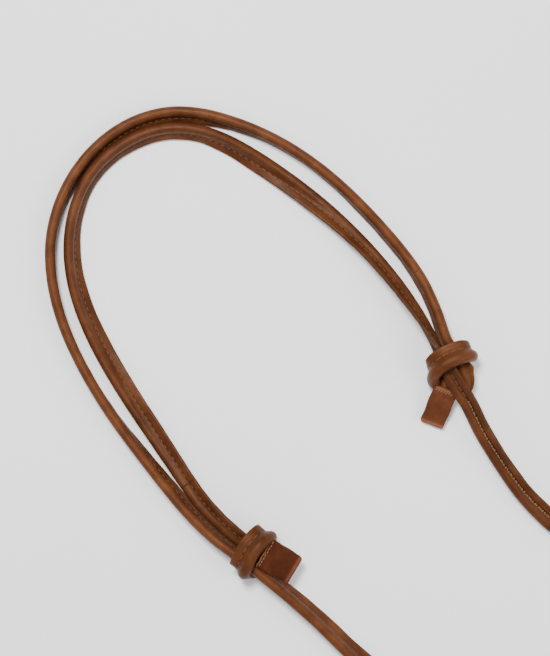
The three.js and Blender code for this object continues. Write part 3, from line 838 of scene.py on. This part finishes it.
def chape_mesh(name, at, turn):
    """Leather strip folded round the eye's bar, its long edges pinched and stitched beside the roll."""
    top = [(-18, 5.4), (-12, 5.4), (-6, 5.4), (0, 5.4), (3, 5.25), (7, 4.85), (12, 4.25), (17, 3.6), (20, 3.25)]
    nose = arc((22, 0), 3.15, range(80, -81, -16))
    path = np.array(top + nose + [(u, -z) for u, z in reversed(top)])
    step = np.gradient(path, axis=0)
    step /= np.linalg.norm(step, axis=1)[:, None]
    half_w, half_t = 8.5, 0.98
    rim = [(half_w, 0), (half_w - 0.12, 0.42), (half_w - 0.4, 0.78)]
    rim += [(w, half_t) for w in (half_w - 0.9, 7.0, 6.5, 6.0, 5.5, 5.0, 4.3, 0)]

    def pinched(u, w, z):
        """Height of the middle of the leather, pressed together beside the roll."""
        k = smooth((abs(w) - 4.3) / 2.6) * smooth((17 - u) / 6)
        return z - math.copysign(k * max(0, abs(z) - 1.65), z)

    section = rim + [(-w, h) for w, h in reversed(rim[:-1])]
    section += [(-w, -h) for w, h in rim[1:]] + [(w, -h) for w, h in reversed(rim[1:-1])]
    b = Build(at, turn)
    b.rings([
        [(c[0] - d[1] * h, w, pinched(c[0], w, c[1]) + d[0] * h) for w, h in section]
        for c, d in zip(path, step)
    ])
    n = len(section)
    edge = {j for j in range(n) if min(abs(section[j][0]), abs(section[(j + 1) % n][0])) > half_w - 0.5}
    index = [1 if k < len(b.faces) - 2 and (k % n) in edge else 0 for k in range(len(b.faces))]
    o = new_object(name, b.verts, b.faces, [CHAPE, EDGE], index)
    pitch, dash, sink = 3.1, 2.2, half_t + 0.08
    tops, heights = zip(*top)
    rows = []
    for i in range(12):
        u = -16.6 + pitch * i
        rows += [((u, w), (u + dash, w)) for w in (-6.9, 6.9)]
    for i in range(4):
        w = -6.2 + pitch * i
        rows.append(((-16.9, w), (-16.9, w + dash)))
    tv, tf = [], []
    for face in (1, -1):
        for row in rows:
            ends = [b.place(u, w, (pinched(u, w, np.interp(u, tops, heights)) + sink) * face) for u, w in row]
            capsule(tv, tf, ends[0], ends[1], (0, 0, face), 0.34)
    return o, new_object(name + "_thread", tv, tf, [THREAD])


def hook_pieces(label, at, turn):
    """The hook's CAD nodes, each with its finished piece, body and slot."""
    chape, chape_thread = chape_mesh(f"hook_{label}_leather_chape", at, turn)
    rivet = Build(at, turn)
    dome = [(-7.45, 0.4), (-7.4, 1.5), (-7.15, 2.5), (-6.85, 3.05), (-6.55, 3.2), (-6.42, 3.1), (-6.4, 1.4)]
    rivet.turned(dome + [(-z, r) for z, r in reversed(dome)], at=(9, 0))
    eye = Build(at, turn)
    eye.wire(EYE, 1.75, closed=True)
    eye.turned([(31.4, 3.2), (31.7, 3.8), (32.2, 4.0), (33.2, 4.0), (33.5, 3.75), (33.9, 3.75), (34.2, 4.0),
                (37.3, 4.0), (37.8, 3.8), (38.0, 3.3)])
    body = Build(at, turn)
    body.turned([(28.4, 1.2), (28.6, 2.4), (29.1, 3.0), (30.2, 3.2), (30.9, 3.1), (31.1, 2.6), (31.2, 1.85),
                 (31.9, 1.85)])
    body.turned([(37.5, 1.85), (38.2, 1.85), (38.3, 3.4), (38.7, 3.9), (39.4, 4.0), (41.0, 3.9), (42.0, 3.3),
                 (42.6, 2.4)])
    body.wire(BEND, 2.3)
    cheek = arc(PIVOT, 3.2, np.linspace(20, 110, 9))
    cheek += [(40.4, 6.0), (39.6, 5.2), (39.4, 1.4), (41.2, 0.9), (47.2, 1.6)]
    body.plate(cheek, 2.35, 3.7)
    body.plate(cheek, -3.7, -2.35)
    body.plate([(39.4, 0.6), (42.4, 0.6), (42.4, 5.9), (40.6, 6.0), (39.6, 5.2)], -3.6, 3.6)
    gate = Build(at, turn)
    gate.turned([(-2.0, 2.2), (-1.8, 2.5), (-1.5, 2.6), (1.5, 2.6), (1.8, 2.5), (2.0, 2.2)], at=PIVOT)
    gate.wire([PIVOT, (54, 6.9), (61.4, 7.95)], 1.75)
    pin = Build(at, turn)
    head = [(-3.95, 0.8), (-3.85, 1.15), (-3.72, 1.3), (-3.7, 0.9)]
    pin.turned(head + [(-z, r) for z, r in reversed(head)], at=PIVOT, sides=20)
    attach(chape_thread, "straps")
    metal = (
        ("rivet", rivet, "straps"), ("eye", eye, f"eye_{label}"), ("body", body, f"hook_{label}"),
        ("gate", gate, f"gate_{label}"), ("gate_pin", pin, f"hook_{label}"),
    )
    pieces = [("chape", chape, "straps", "chape_leather")]
    for node, build, rides_on in metal:
        piece = build.object(f"hook_{label}_brass_{node.removeprefix('gate_')}", BRASS)
        pieces.append((node, piece, rides_on, "antique_brass"))
    return pieces


for label, end, turn in (("a", A_END, -94.2), ("b", B_END, -81.6)):
    for node, o, body, slot in hook_pieces(label, end[:2], turn):
        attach(o, body)
        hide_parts(f"hook_{label}_{node}")


# ---------------------------------------------------------------- floor and light
def area(name, where, aim, size, power):
    light = bpy.data.lights.new(name, "AREA")
    light.shape = "DISK"
    light.size = size
    light.energy = power
    o = bpy.data.objects.new(name, light)
    o.location = where
    o.rotation_euler = (Vector(aim) - Vector(where)).to_track_quat("-Z", "Y").to_euler()
    bpy.context.scene.collection.objects.link(o)


floor_mesh = bpy.data.meshes.new("floor")
floor_mesh.from_pydata([(-6, -6, 0), (6, -6, 0), (6, 6, 0), (-6, 6, 0)], [], [(0, 1, 2, 3)])
floor = bpy.data.objects.new("floor", floor_mesh)
bpy.context.scene.collection.objects.link(floor)
floor_mesh.materials.append(plain("pale_floor", (0.90,) * 3, (0.93,) * 3, 3, 0.9, 0.0))
floor.location.z = -0.0005  # just under the lowest leather

world = bpy.data.worlds.new("studio")
world.use_nodes = True
background = world.node_tree.nodes["Background"]
background.inputs[0].default_value = (1, 1, 1, 1)
background.inputs[1].default_value = 0.72
bpy.context.scene.world = world
up = np.array([0.643, 0.766, 0])  # the picture's own directions, on the floor
right = np.array([0.766, -0.643, 0])
centre = np.array([0.0154, 0.0876, 0])
area("key", centre - right * 0.25 + up * 0.55 + (0, 0, 1.75), centre, 0.45, 50)
area("fill", centre + right * 1.1 - up * 0.4 + (0, 0, 1.2), centre, 1.2, 12)
